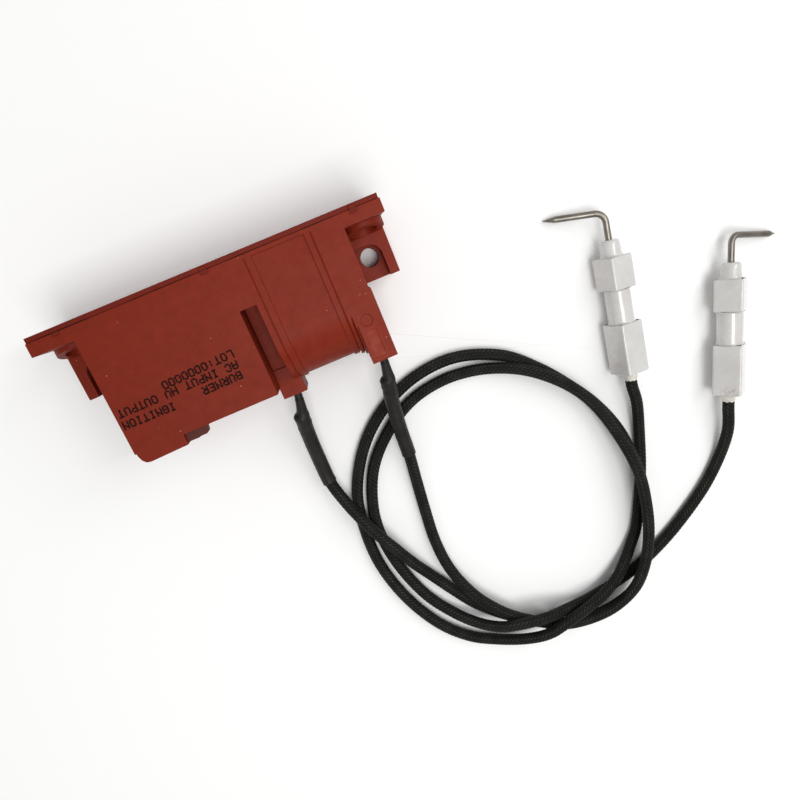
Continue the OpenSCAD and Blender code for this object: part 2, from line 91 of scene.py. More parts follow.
LEFT_FREE = """6.1,-17,13 6.1,-23.2,13 5.7,-25.9,12.7 4.5,-30,11.2 3.6,-36.5,8 3.1,-44,5.2 3,-51.5,3.7
4.5,-58,4.4 6.5,-64,5.2 9,-70.5,5.4 12,-77,5 15,-84,3.6 18.5,-91,2 22.5,-98,1.7 27,-105,1.7
33,-111.5,1.7 40,-117.5,1.7 48.5,-122.8,1.7 58,-124.8,1.7 66.5,-123.5,2.8 73.5,-119,4.8
79,-111.5,5.1 82.5,-102.5,5.1 84.5,-92.5,5.1 85,-82.5,5 84,-71.5,3.2 80.5,-62,1.8 75,-53.5,1.7
68.5,-45.5,1.7 60,-38,1.7 48,-33.5,1.7 36,-34,1.7 25,-38.5,1.7 15.5,-46.5,1.7 8.5,-58,1.7
6,-70,1.7 6,-82,1.7 9,-94.5,1.7 14.5,-106,1.7 21.5,-114.2,1.7 29.5,-119.2,2 37,-120.6,5
43.5,-119.9,8 50,-118.4,8.5 58,-117.6,6.8 64,-116.6,5.2 69,-114,4.4 73.5,-110.5,3 77,-107,1.9
80,-103,1.7 83.5,-95,1.7 87,-85.5,1.7 89.5,-76,2 91,-66,3.9"""
RIGHT_FREE = """29.6,-17,13 29.6,-22.3,13 29.3,-25.2,12.7 28.4,-30,11.2 27.3,-36.5,8.6 26.5,-44,6.4
26,-53,3.8 25,-62,2 24,-71,1.7 23.2,-80,1.7 23.5,-88,2.2 25,-94.5,3.4 28,-101.5,4.3
32,-107.5,4.8 36,-112,4.8 41.5,-116.5,4.8 48.5,-121,4.9 57,-123,4.9 65,-121.8,6 72.2,-117,7.9
77.5,-110,8.4 81,-102,8.4 83,-93.5,8.3 83.8,-84,8.3 82.8,-74,7 80,-63,5.1 75.5,-54.5,5
68.5,-47,4.8 61,-42,3.8 52,-39,1.8 42,-38,1.7 32,-40,1.7 23,-45.5,1.7 15.4,-53.5,1.7
10.8,-64,1.7 9.6,-74,1.7 11,-85,1.7 14.6,-96,1.7 20,-104.5,2.4 25.5,-109.5,4.6 31,-112,7
36,-113,8.1 41,-114,8.2 46,-115.2,7.4 51,-116.6,5.2 56.5,-117.8,3.3 62,-118.2,2
68.5,-117.3,1.7 77,-115,1.7 87,-110.5,1.7 96,-105,1.7 104,-99,1.7 110.5,-92,2 114,-84.5,4"""
AXIS_STOPS = (-4, 0, 5, 10)  # route points on the ceramic's axis, from its foot
SIDES = {
    "left": {"free": LEFT_FREE, "foot": (91.5, -56.05, 4.8), "heading": 81.4, "length": 478},
    "right": {"free": RIGHT_FREE, "foot": (116.6, -73.5, 5.2), "heading": 73.1, "length": 453},
}
PER = 16  # samples between two route points
NEAR = 0.3  # a heading is measured this far each way along the route


def axis_point(side, s):
    """Point on a ceramic's axis, s millimetres from its foot."""
    a = math.radians(side["heading"])
    return np.array(side["foot"]) + s * np.array([math.cos(a), math.sin(a), 0.0])


def route_curve(side):
    """The route's points, its dense curve, and the arc length at each sample of the curve."""
    p = np.array([[float(x) for x in w.split(",")] for w in side["free"].split()])
    p = np.vstack([p, [axis_point(side, s) for s in AXIS_STOPS]])
    last = len(p) - 1
    rows = []
    for i in range(last):
        leave = (p[i + 1] - p[max(i - 1, 0)]) / 2
        arrive = (p[min(i + 2, last)] - p[i]) / 2
        for t in np.arange(PER) / PER:
            rows.append(
                p[i] * (2 * t**3 - 3 * t**2 + 1) + leave * (t**3 - 2 * t**2 + t)
                + p[i + 1] * (3 * t**2 - 2 * t**3) + arrive * (t**3 - t**2)
            )
    rows.append(p[last])
    curve = np.array(rows)
    arc = np.r_[0, np.cumsum(np.linalg.norm(np.diff(curve, axis=0), axis=1))]
    return curve, arc


def resample(curve, arc, stations):
    """Points of the curve at the arc lengths in stations, with a frame that doesn't twist."""
    points, ahead, behind = (
        np.stack([np.interp(stations + shift, arc, curve[:, k]) for k in range(3)], 1)
        for shift in (0.0, NEAR, -NEAR)
    )
    heading = ahead - behind
    heading /= np.linalg.norm(heading, axis=1)[:, None]
    side = np.cross(heading[0], [0, 0, 1])
    sides = []
    for h in heading:
        side = side - h * (side @ h)
        side = side / np.linalg.norm(side)
        sides.append(side)
    sides = np.array(sides)
    return points, sides, np.cross(sides, heading)


def turns(rings, corners):
    """Angles of the corners, the same for every ring."""
    return np.broadcast_to(2 * np.pi * np.arange(corners) / corners, (rings, corners))


def ring_points(points, sides, ups, radii, angles):
    """Rings of corners; radii and angles are (rings, corners)."""
    return (
        points[:, None, :]
        + (radii * np.cos(angles))[:, :, None] * sides[:, None, :]
        + (radii * np.sin(angles))[:, :, None] * ups[:, None, :]
    )


def end_caps(points, sides, ups, radius, angles):
    """A tiny ring at the last point and one at the first, which close a solid tube."""
    corners = angles.shape[1]
    return [
        ring_points(points[[e]], sides[[e]], ups[[e]], np.full((1, corners), radius), angles[:1])
        for e in (-1, 0)
    ]


def link(name, mesh):
    """Object of a mesh, put in the scene."""
    obj = bpy.data.objects.new(name, mesh)
    bpy.context.scene.collection.objects.link(obj)
    return obj


def closed_tube(name, rings):
    """Smooth mesh from rings of equal count. The last ring joins the first, so it is closed."""
    count, around = rings.shape[:2]
    verts = rings.reshape(-1, 3) * MM
    i = np.arange(count)[:, None]
    k = np.arange(around)[None, :]
    j, n = (i + 1) % count, (k + 1) % around
    faces = np.stack(
        [i * around + k, i * around + n, j * around + n, j * around + k], -1
    ).reshape(-1, 4)
    mesh = bpy.data.meshes.new(name)
    mesh.from_pydata(verts.tolist(), [], faces.tolist())
    mesh.polygons.foreach_set("use_smooth", [True] * len(mesh.polygons))
    mesh.update()
    return link(name, mesh)


BRAID_R = 1.5  # to the bottom of the yarns
BRAID_RISE = 0.13  # of a yarn's crown
BRAID_BORE = 1.2
BORE_EVERY = 10  # outer rings to one inner ring
YARNS = 12  # of each hand, round the cord
CELL = 4  # samples across a yarn
YARN_PITCH = 1.16  # along the cord
FRAY = (-0.45, 0.5)  # how far the columns run short or long at the cut end
FRAY_REACH = 2.2  # length of sleeve that the fray bends


def braid(name, curve, arc, start, end, ragged):
    """Woven sleeve: two families of yarns that pass over two and under two.

    The end at the ceramic is cut ragged, with each column a little longer or shorter.
    """
    around = YARNS * CELL
    step = YARN_PITCH / CELL
    stations = start + step * np.arange(int((end - start) / step) + 1)
    points, sides, ups = resample(curve, arc, stations)
    i = np.arange(len(stations))[:, None]
    k = np.arange(around)[None, :]
    a, b = (k + i + 0.5) / CELL, (k - i + 0.5) / CELL
    a_top = (np.floor(a) + np.floor(b)) % 4 < 2
    across = np.where(a_top, a, b) % 1 - 0.5
    along = np.where(a_top, (np.floor(a) + b) % 4, (a + np.floor(b)) % 4 - 2) / 2
    crown = 1 - (2 * across) ** 2 * 0.85
    float_rise = np.sqrt(np.clip(np.sin(np.pi * np.clip(along, 0.02, 0.98)), 0, 1))
    height = crown * (0.45 + 0.55 * float_rise)
    radii = BRAID_R + BRAID_RISE * height
    angles = 2 * np.pi * k / around + 0 * i
    rings = ring_points(points, sides, ups, radii, angles)
    rng = np.random.default_rng(ragged)
    jag = np.repeat(rng.uniform(*FRAY, around // 2), 2)
    jag = 0.5 * jag + 0.5 * np.roll(jag, 1)
    share = np.clip((stations - (stations[-1] - FRAY_REACH)) / FRAY_REACH, 0, 1)[:, None] ** 1.5
    heading = points[-1] - points[-2]
    heading /= np.linalg.norm(heading)
    rings += (share * jag[None, :])[:, :, None] * heading
    inner = np.unique(np.r_[np.arange(0, len(stations), BORE_EVERY), len(stations) - 1])[::-1]
    bore = ring_points(points, sides, ups, np.full(radii.shape, BRAID_BORE), angles)[inner]
    bore[0] += (share[-1] * jag[None, :])[:, :, None][0] * heading
    obj = closed_tube(name, np.concatenate([rings, bore]))
    mesh = obj.data
    # Each yarn is one unit wide in the map: u follows one hand and v the other
    rows = len(stations) + len(inner)
    uv = np.zeros((rows, around, 4, 2), np.float32)
    ii = np.minimum(np.arange(rows), len(stations) - 1)[:, None]
    jj = np.minimum(np.arange(rows) + 1, len(stations) - 1)[:, None]
    kk = np.arange(around)[None, :]
    for corner, (r, c) in enumerate(((ii, kk), (ii, kk + 1), (jj, kk + 1), (jj, kk))):
        uv[:, :, corner, 0] = (c + r + 0.5) / CELL
        uv[:, :, corner, 1] = (c - r + 0.5) / CELL
    layer = mesh.uv_layers.new(name="yarns")
    layer.data.foreach_set("uv", uv.ravel())
    lift = mesh.attributes.new("lift", "FLOAT", "POINT")
    flat_bore = np.zeros(len(inner) * around)
    lift.data.foreach_set("value", np.r_[height.ravel(), flat_bore].astype(np.float32))
    return obj, points


WIRE_R = 1.05
WIRE_RINGS = 420
WIRE_CORNERS = 16
WIRE_TIP_R = 0.02


def wire(name, curve, arc):
    """Insulated wire along the whole route."""
    stations = np.linspace(0, arc[-1], WIRE_RINGS)
    points, sides, ups = resample(curve, arc, stations)
    angles = turns(len(stations), WIRE_CORNERS)
    outer = ring_points(points, sides, ups, np.full(angles.shape, WIRE_R), angles)
    ends = end_caps(points, sides, ups, WIRE_TIP_R, angles)
    return closed_tube(name, np.concatenate([outer] + ends))


def bump_at(s, centre, width):
    """Bell curve of height 1 round a centre."""
    return np.exp(-(((s - centre) / width) ** 2))


SLEEVE_CORNERS = 40
SLEEVE_STEP = 0.22
BORE_SKIP = 6  # outer rings to one inner ring of a heat-shrink sleeve
SKIRT = 4.6  # length of the thin part on the bare wire
SKIRT_R = 1.13
SKIRT_BORE = 1.06
SKIN = 0.14  # wall of the sleeve
FULL_BORE = 1.75
LIP_TURN = 0.35  # angle of the side where the sleeve pops out over the end of the braid
LIP_POP = 0.82  # how far it pops out there
LIP_FADE = 0.24  # length over which it does
FAR_SWELL = 0.8  # how far the other side opens along the skirt


def shrink_sleeve(name, curve, arc, lip, end, lumps):
    """Heat-shrink sleeve: a thin skirt on the wire that opens into the sleeve at the lip."""
    stations = np.linspace(lip - SKIRT, end, int((end - lip + SKIRT) / SLEEVE_STEP))
    points, sides, ups = resample(curve, arc, stations)
    t = (stations - lip)[:, None]
    angles = turns(len(stations), SLEEVE_CORNERS)
    bulge_side = 0.5 + 0.5 * np.cos(angles - LIP_TURN)
    far_side = 1 - bulge_side
    opened = np.clip((t + SKIRT) / SKIRT, 0, 1) ** 1.3
    popped = 1 / (1 + np.exp(-(t + 0.1) / LIP_FADE))
    radii = SKIRT_R + far_side * FAR_SWELL * opened + bulge_side * popped * LIP_POP
    for centre, width, rise, turn in lumps:
        radii = radii + rise * bump_at(t, centre, width) * (0.5 + 0.5 * np.cos(angles - turn))
    # Slight twist in the skin that fades along the sleeve, and a rolled far end
    fade = np.clip(t, 0, 1) * np.exp(-np.clip(t, 0, None) / 9)
    radii = radii + 0.03 * np.sin(3.1 * t + 2 * angles) * fade
    radii = radii + 0.035 * bump_at(t, (end - lip) - 0.5, 0.35)
    rings = ring_points(points, sides, ups, radii, angles)
    thin = np.clip(radii - SKIN, SKIRT_BORE, FULL_BORE)
    bore = ring_points(points, sides, ups, thin, angles)[::-BORE_SKIP]
    start_r = np.full((1, SLEEVE_CORNERS), SKIRT_BORE)
    first = ring_points(points[:1], sides[:1], ups[:1], start_r, angles[:1])
    return closed_tube(name, np.concatenate([rings, bore, first]))


# Collar of adhesive: distance from the ceramic's foot, radius, and share of the flare
GLUE_PROFILE = np.array([
    (-2.8, 1.1, 0), (-2.6, 1.4, 0), (-2.2, 1.64, 0), (-1.8, 1.76, 0), (-1.4, 1.84, 0),
    (-1.0, 1.9, 0.1), (-0.6, 1.95, 0.28), (-0.25, 2.02, 0.55), (0.0, 2.08, 0.9),
    (0.02, 1.3, 0), (-1.3, 1.22, 0),
])
GLUE_WAVE = 0.05
WAVY_FROM, WAVY_TO = -2.3, -0.1


def glue_neck(name, side, flare, seed):
    """Collar of set adhesive between the braid's ragged end and the ceramic."""
    s, radius, share = GLUE_PROFILE.T
    points = np.array([axis_point(side, x) for x in s])
    a = math.radians(side["heading"])
    heading = np.array([math.cos(a), math.sin(a), 0.0])
    sides = np.broadcast_to(np.cross(heading, [0, 0, 1]), points.shape)
    ups = np.cross(sides, heading)
    angles = turns(len(s), SLEEVE_CORNERS)
    rng = np.random.default_rng(seed)
    wave = sum(
        rng.uniform(-1, 1) * np.cos(n * angles + rng.uniform(0, 6)) / n for n in (1, 2, 3, 4)
    )
    wavy = ((s < WAVY_TO) & (s > WAVY_FROM))[:, None]
    radii = (radius + share * flare)[:, None] + GLUE_WAVE * wave * wavy
    return closed_tube(name, ring_points(points, sides, ups, radii, angles))


# Swellings of a sleeve near its lip: distance past the lip, width, rise, angle
LUMPS = {
    "left": [(0.8, 0.9, 0.3, 0.1), (2.6, 1.0, 0.12, 2.9), (4.5, 1.4, 0.08, -0.6)],
    "right": [(0.7, 0.8, 0.24, 0.0), (2.2, 0.7, 0.14, 0.5), (4.2, 1.1, 0.1, 2.6)],
}
FLARE = {"left": 0.2, "right": 1.5}
SEEDS = {"left": (3, 11), "right": (5, 12)}  # of the braid's fray and the glue's waves
LIP_AT, SLEEVE_END_AT = 2.9, 6  # counted in route points
BRAID_PAST_LIP = 0.4
BRAID_BEFORE_FOOT = 2.0
LEADS = {}
for which, side in SIDES.items():
    curve, arc = route_curve(side)
    fray_seed, glue_seed = SEEDS[which]
    foot_arc = arc[-1] - AXIS_STOPS[-1]
    lip = float(arc[int(LIP_AT * PER)])
    sleeve_end = float(arc[int(SLEEVE_END_AT * PER)])
    start, end = lip + BRAID_PAST_LIP, foot_arc - BRAID_BEFORE_FOOT
    sleeve, path = braid(which + "_braid", curve, arc, start, end, fray_seed)
    core = wire(which + "_wire", curve, arc)
    shrink = shrink_sleeve(which + "_shrink", curve, arc, lip, sleeve_end, LUMPS[which])
    neck = glue_neck(which + "_glue", side, FLARE[which], glue_seed)
    for piece, node, slot in (
        (sleeve, "braid_sleeve", "braid"), (core, "hv_wire", "wire"),
        (shrink, "shrink_sleeve", "shrink"), (neck, "glue_neck", "glue"),
    ):
        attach(piece, "root")
        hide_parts(which + "_" + node)
    LEADS[which] = {"braid": sleeve, "wire": core, "shrink": shrink, "glue": neck}

# ---- Materials ----


def linear(code):
    """Linear colour from a hex code."""
    out = []
    for k in (0, 2, 4):
        c = int(code[k:k + 2], 16) / 255
        out.append(c / 12.92 if c <= 0.04045 else ((c + 0.055) / 1.055) ** 2.4)
    return (*out, 1.0)


class Tree:
    """A material's nodes, wired by name."""

    def __init__(self, name):
        self.material = bpy.data.materials.new(name)
        self.material.use_nodes = True
        self.nodes = self.material.node_tree.nodes
        self.links = self.material.node_tree.links
        self.shader = self.nodes["Principled BSDF"]
        self.where = self.nodes.new("ShaderNodeTexCoord").outputs["Object"]

    def put(self, socket, value):
        if isinstance(value, bpy.types.NodeSocket):
            self.links.new(value, socket)
        else:
            socket.default_value = value

    def set(self, **values):
        for key, value in values.items():
            self.put(self.shader.inputs[key.replace("_", " ")], value)

    def noise(self, scale, detail=4.0, rough=0.55, warp=0.0, at=None):
        n = self.nodes.new("ShaderNodeTexNoise")
        self.put(n.inputs["Vector"], at or self.where)
        n.inputs["Scale"].default_value = scale
        n.inputs["Detail"].default_value = detail
        n.inputs["Roughness"].default_value = rough
        n.inputs["Distortion"].default_value = warp
        return n.outputs["Fac"]

    def cells(self, scale):
        n = self.nodes.new("ShaderNodeTexVoronoi")
        self.put(n.inputs["Vector"], self.where)
        n.inputs["Scale"].default_value = scale
        return n.outputs["Distance"]

    def ramp(self, value, low, high, to_low=0.0, to_high=1.0):
        n = self.nodes.new("ShaderNodeMapRange")
        self.put(n.inputs["Value"], value)
        limits = {"From Min": low, "From Max": high, "To Min": to_low, "To Max": to_high}
        for key, x in limits.items():
            n.inputs[key].default_value = x
        return n.outputs["Result"]

    def math(self, what, a, b=0.0):
        n = self.nodes.new("ShaderNodeMath")
        n.operation = what
        for socket, x in zip(n.inputs, (a, b)):
            self.put(socket, x)
        return n.outputs["Value"]

    def product(self, *values):
        out = values[0]
        for value in values[1:]:
            out = self.math("MULTIPLY", out, value)
        return out

    def mix(self, share, a, b):
        n = self.nodes.new("ShaderNodeMix")
        n.data_type = "RGBA"
        self.put(n.inputs[0], share)
        self.put(n.inputs[6], linear(a) if isinstance(a, str) else a)
        self.put(n.inputs[7], linear(b) if isinstance(b, str) else b)
        return n.outputs[2]

    def inside(self, letter, low, high, soft):
        """1 between two heights along an axis, fading over soft."""
        value = self.axis(letter)
        return self.product(
            self.ramp(value, low - soft, low), self.ramp(value, high + soft, high)
        )

    def axis(self, letter, at=None):
        n = self.nodes.new("ShaderNodeSeparateXYZ")
        self.put(n.inputs[0], at or self.where)
        return n.outputs[letter]

    def stretch(self, scale):
        n = self.nodes.new("ShaderNodeMapping")
        self.put(n.inputs["Vector"], self.where)
        n.inputs["Scale"].default_value = scale
        return n.outputs["Vector"]

    def bump(self, height, depth, strength, under=None):
        n = self.nodes.new("ShaderNodeBump")
        n.inputs["Strength"].default_value = strength
        n.inputs["Distance"].default_value = depth
        self.put(n.inputs["Height"], height)
        if under is not None:
            self.put(n.inputs["Normal"], under)
        return n.outputs["Normal"]


def speckled(t, colour, speck, scale, size, share):
    """Colour with sparse specks of another colour."""
    spot = t.ramp(t.cells(scale), size, size * 0.6)
    where = t.ramp(t.noise(scale * 0.35, 1.0), 0.62, 0.66)
    return t.mix(t.product(spot, where, share), colour, speck)


# Colours of scuffs, pale specks, dark specks and the painted shade in the gap of a seam
SCUFF, DUST, CHAR, SEAM_SHADE = "b5685a", "d9a596", "3c120d", "140503"


def moulded(name, dark, light, deep, seam=None, patches=()):
    """Satin thermoset with fine grain, flow tones, painted light that makes it lighter towards +X,
    dust specks and small scuffs.

    A seam is two heights in Y with painted shade of a gap between them. A patch is a box in X, Y and
    Z, its colour, and the least and most share of that colour.
    """
    t = Tree(name)
    flow = t.ramp(t.noise(28, 3.0, 0.5, 0.6), 0.3, 0.7)
    # Lighter towards +X: painted light, brighter towards the right end
    painted_side_light = t.ramp(t.axis("X"), -0.04, 0.04)
    shade = t.math("ADD", t.product(flow, 0.45), t.product(painted_side_light, 0.55))
    colour = t.mix(shade, dark, light)
    mottle = t.ramp(t.noise(420, 5.0, 0.65), 0.35, 0.75, 0.0, 0.34)
    colour = t.mix(mottle, colour, deep)
    scuff = t.ramp(t.noise(90, 8.0, 0.75, at=t.stretch((1.0, 6.0, 1.0))), 0.66, 0.74, 0.0, 0.16)
    colour = t.mix(scuff, colour, SCUFF)
    colour = speckled(t, colour, DUST, 700, 0.09, 0.75)
    colour = speckled(t, colour, CHAR, 520, 0.1, 0.6)
    if seam is not None:
        # The seam is painted near black: painted shade of the gap between cover and flange
        seam_shade = t.inside("Y", *seam, 0.00004)
        uneven = t.ramp(t.noise(70, 4.0, 0.6), 0.38, 0.58, 0.2, 1.0)
        colour = t.mix(t.product(seam_shade, uneven), colour, SEAM_SHADE)
    for xs, ys, zs, tint, least, most in patches:
        share = t.product(
            t.inside("X", *xs, 0.0006), t.inside("Y", *ys, 0.0008), t.inside("Z", *zs, 0.0002),
            t.ramp(t.noise(420, 4.0, 0.6), 0.35, 0.65, least, most),
        )
        colour = t.mix(share, colour, tint)
    grain = t.noise(2600, 3.0, 0.6)
    t.set(
        Base_Color=colour,
        Roughness=t.ramp(t.noise(160, 5.0, 0.6), 0.3, 0.75, 0.42, 0.56),
        Normal=t.bump(grain, 0.00003, 0.45, t.bump(t.noise(120, 2.0), 0.0001, 0.25)),
        Specular_IOR_Level=0.12,
    )
    return t.material


FILAMENTS = 5  # across a yarn


def braided():
    """Varnished yarns: filaments along whichever yarn is on top, painted highlight on the crowns and
    painted shade in the gaps.
    """
    t = Tree("braided_sleeve")
    uv = t.nodes.new("ShaderNodeUVMap")
    uv.uv_map = "yarns"
    a, b = t.axis("X", uv.outputs["UV"]), t.axis("Y", uv.outputs["UV"])
    total = t.math("ADD", t.math("FLOOR", a), t.math("FLOOR", b))
    top = t.math("LESS_THAN", t.math("FLOORED_MODULO", total, 4.0), 2.0)
    across = t.math("ADD", t.product(top, a), t.product(t.math("SUBTRACT", 1.0, top), b))
    filament = t.math("SINE", t.product(across, 2 * math.pi * FILAMENTS))
    lift = t.nodes.new("ShaderNodeAttribute")
    lift.attribute_name = "lift"
    # Crowns lighter and low parts darker: painted highlight on the crowns, in paler patches too, and
    # painted shade in the gaps between yarns
    high = t.ramp(lift.outputs["Fac"], 0.42, 0.97)
    crown_highlight = t.ramp(t.noise(300, 4.0), 0.4, 0.75, 0.0, 0.5)
    colour = t.mix(high, "040403", "30302c")
    colour = t.mix(t.product(crown_highlight, high), colour, "504f49")
    colour = t.mix(t.product(top, 0.4), colour, "0f0f0e")
    colour = speckled(t, colour, "8b887d", 900, 0.1, 0.8)
    t.set(
        Base_Color=colour,
        Roughness=t.ramp(filament, -1, 1, 0.62, 0.48),
        Normal=t.bump(filament, 0.00004, 0.5, t.bump(t.noise(2200, 3.0), 0.00004, 0.4)),
        Specular_IOR_Level=0.1,
    )
    return t.material


def rubbery(name, dark, light, rough, depth=0.00006):
    """Dull black polymer with creases across it and dust."""
    t = Tree(name)
    colour = t.mix(t.ramp(t.noise(220, 5.0, 0.6), 0.3, 0.7), dark, light)
    colour = speckled(t, colour, "6d6a62", 800, 0.1, 0.6)
    crease = t.noise(500, 4.0, 0.6, 0.8, at=t.stretch((1.0, 0.35, 1.0)))
    t.set(
        Base_Color=colour,
        Roughness=t.ramp(t.noise(700, 4.0), 0.3, 0.7, rough - 0.07, rough + 0.08),
        Normal=t.bump(crease, depth, 0.6, t.bump(t.noise(3000, 2.0), 0.00003, 0.3)),
        Specular_IOR_Level=0.22,
    )
    return t.material


def adhesive():
    """Cloudy off-white adhesive, a little translucent."""
    t = Tree("set_adhesive")
    cloudy = t.ramp(t.noise(900, 4.0), 0.3, 0.7)
    t.set(
        Base_Color=t.mix(cloudy, "e4e1da", "c9c4b8"),
        Roughness=t.ramp(t.noise(1500, 3.0), 0.3, 0.7, 0.18, 0.4),
        Normal=t.bump(t.noise(800, 3.0), 0.0001, 0.4),
        Subsurface_Weight=0.25,
        Subsurface_Scale=0.0012,
        Subsurface_Radius=(1.0, 0.9, 0.8),
    )
    return t.material


def glazed(name, stains):
    """White glazed ceramic with faint mottling, pores, and burnt-on stains near some points.

    A stain is a point, how far it reaches, and its strength.
    """
    t = Tree(name)
    colour = t.mix(t.ramp(t.noise(130, 4.0), 0.35, 0.7), "d3d1ce", "c9c6c3")
    colour = speckled(t, colour, "8d8478", 420, 0.06, 0.6)
    for point, reach, strength in stains:
        offset = t.nodes.new("ShaderNodeVectorMath")
        offset.operation = "DISTANCE"
        t.put(offset.inputs[0], t.where)
        offset.inputs[1].default_value = point
        near = t.ramp(offset.outputs["Value"], reach, reach * 0.3)
        patch = t.ramp(t.noise(1500, 5.0, 0.7), 0.48, 0.62)
        colour = t.mix(t.product(near, patch, strength), colour, "8a6a4a")
    t.set(
        Base_Color=colour,
        Roughness=t.ramp(t.noise(320, 4.0), 0.3, 0.7, 0.2, 0.34),
        Normal=t.bump(t.noise(260, 3.0), 0.00005, 0.3, t.bump(t.noise(2400, 2.0), 0.00002, 0.25)),
        Coat_Weight=0.8,
        Coat_Roughness=0.05,
        Subsurface_Weight=0.08,
        Subsurface_Scale=0.001,
        Subsurface_Radius=(1.0, 0.95, 0.9),
    )
    return t.material


def metal(name, dark, light, rough, lines, depth=0.00002, scale=900):
    """Metal with drawn streaks; lines is how much the streaks' pattern is stretched."""
    t = Tree(name)
    streak = t.noise(scale, 5.0, 0.65, at=t.stretch(lines))
    tarnish = t.ramp(t.noise(180, 4.0), 0.35, 0.7)
    colour = t.mix(t.product(t.math("ADD", streak, tarnish), 0.5), dark, light)
    t.set(
        Base_Color=colour,
        Metallic=1.0,
        Roughness=t.ramp(streak, 0.3, 0.7, rough - 0.08, rough + 0.1),
        Normal=t.bump(streak, depth, 0.6),
    )
    return t.material


def grained(name, dark, light, rough, scale, speck=None, gloss=0.5):
    """Plain matter with two close tones, an uneven surface and perhaps some specks."""
    t = Tree(name)
    colour = t.mix(t.ramp(t.noise(scale, 5.0, 0.6), 0.3, 0.7), dark, light)
    if speck:
        colour = speckled(t, colour, speck, scale, 0.1, 0.7)
    t.set(
        Base_Color=colour,
        Roughness=t.ramp(t.noise(scale * 1.7, 3.0), 0.3, 0.7, rough - 0.08, rough + 0.08),
        Normal=t.bump(t.noise(scale * 3, 3.0), 0.00005, 0.5),
        Specular_IOR_Level=gloss,
    )
    return t.material


WINDING_PITCH = 0.00018


def wound(name, dark, light):
    """Turns of enamelled wire along X, each painted lighter at its crest and darker in the groove
    between turns.
    """
    t = Tree(name)
    turn = t.math("SINE", t.product(t.axis("X"), 2 * math.pi / WINDING_PITCH))
    # Painted highlight on the crest of each turn and painted shade in the groove to the next
    colour = t.mix(t.ramp(turn, -1, 1), dark, light)
    colour = t.mix(t.ramp(t.noise(400, 3.0), 0.4, 0.7, 0.0, 0.4), colour, dark)
    t.set(
        Base_Color=colour, Metallic=0.85,
        Roughness=t.ramp(t.noise(700), 0.3, 0.7, 0.25, 0.4),
        Normal=t.bump(turn, 0.00006, 0.8),
    )
    return t.material


def laminate():
    """Board with copper tracks under green lacquer."""
    t = Tree("board_laminate")
    brick = t.nodes.new("ShaderNodeTexBrick")
    t.put(brick.inputs["Vector"], t.where)
    brick.inputs["Scale"].default_value = 110
    brick.inputs["Mortar Size"].default_value = 0.05
    tracks = t.ramp(brick.outputs["Fac"], 0.2, 0.8)
    colour = t.mix(tracks, "2f5f33", "5d8a4a")
    colour = t.mix(t.ramp(t.noise(900, 4.0), 0.35, 0.7, 0.0, 0.4), colour, "24481f")
    t.set(
        Base_Color=colour, Roughness=t.ramp(t.noise(500), 0.3, 0.7, 0.3, 0.45),
        Normal=t.bump(tracks, 0.00005, 0.4), Coat_Weight=0.3,
    )
    return t.material


# Stains on the right ceramic: distance along its axis, offset from there, reach, strength
STAINS = [
    (tuple((axis_point(SIDES["right"], s) + np.array(offset)) * MM), reach, strength)
    for s, offset, reach, strength in (
        (0.9, [-2.3, 0.5, 3.4], 0.0024, 0.8),
        (1.0, [-0.9, 0.1, 4.2], 0.0019, 0.5),
    )
]
# Patches of the housing: the gate mark on the right tower, painted lighter as a painted sheen, and
# painted shade on the face of the shroud's lip
TOWER_GATE_SHEEN = ((0.0274, 0.0302), (-0.0212, -0.0146), (0.0255, 0.0261), "a04a36", 0.0, 0.45)
SHROUD_LIP_SHADE = ((-0.0205, -0.0146), (-0.0235, -0.0204), (0.0243, 0.0249), "4f2b25", 0.8, 0.95)
COVER_SEAM = (0.01170, 0.01186)
LOOKS = {
    "housing": moulded(
        "moulded_case", "74210f", "842a17", "541509", patches=(TOWER_GATE_SHEEN, SHROUD_LIP_SHADE)
    ),
    # The cover is the case's resin in darker tones: painted shade of the lid, which lies lower than
    # the flange
    "cover": moulded("moulded_cover_shaded", "681b0c", "731f0f", "440f07", seam=COVER_SEAM),
    "resin": grained("potting_resin_look", "1c1714", "2c2520", 0.3, 300),
    "board": laminate(),
    "capacitor": grained("film_capacitor", "a4691f", "bd7f31", 0.35, 350),
    "resistor": grained("resistor_lacquer", "bf955b", "d0ab74", 0.4, 700, speck="5a3a20"),
    "semiconductor": grained("black_epoxy", "141414", "242424", 0.5, 900),
    "ferrite": grained("ferrite_grey", "2c2c30", "46464b", 0.55, 1200),
    "bobbin": grained("bobbin_nylon", "cbbf90", "ddd4ae", 0.4, 500),
    "copper": wound("enamelled_turns", "7a3514", "c8743a"),
    "tinned_brass": metal("tinned_metal", "a39f92", "d2cfc6", 0.28, (1.0, 0.1, 1.0)),
    "wire": rubbery("wire_insulation", "161615", "232321", 0.42),
    "braid": braided(),
    "shrink": rubbery("shrunk_sleeve", "1a1716", "282423", 0.46, 0.00009),
    "glue": adhesive(),
    "rod": metal("rod_alloy", "6f6a62", "a39d94", 0.36, (0.6, 0.6, 1.0), 0.000006, 700),
}
CERAMIC = {"left": glazed("ceramic_left", []), "right": glazed("ceramic_right", STAINS)}


JOIN_WITHIN = 2e-6


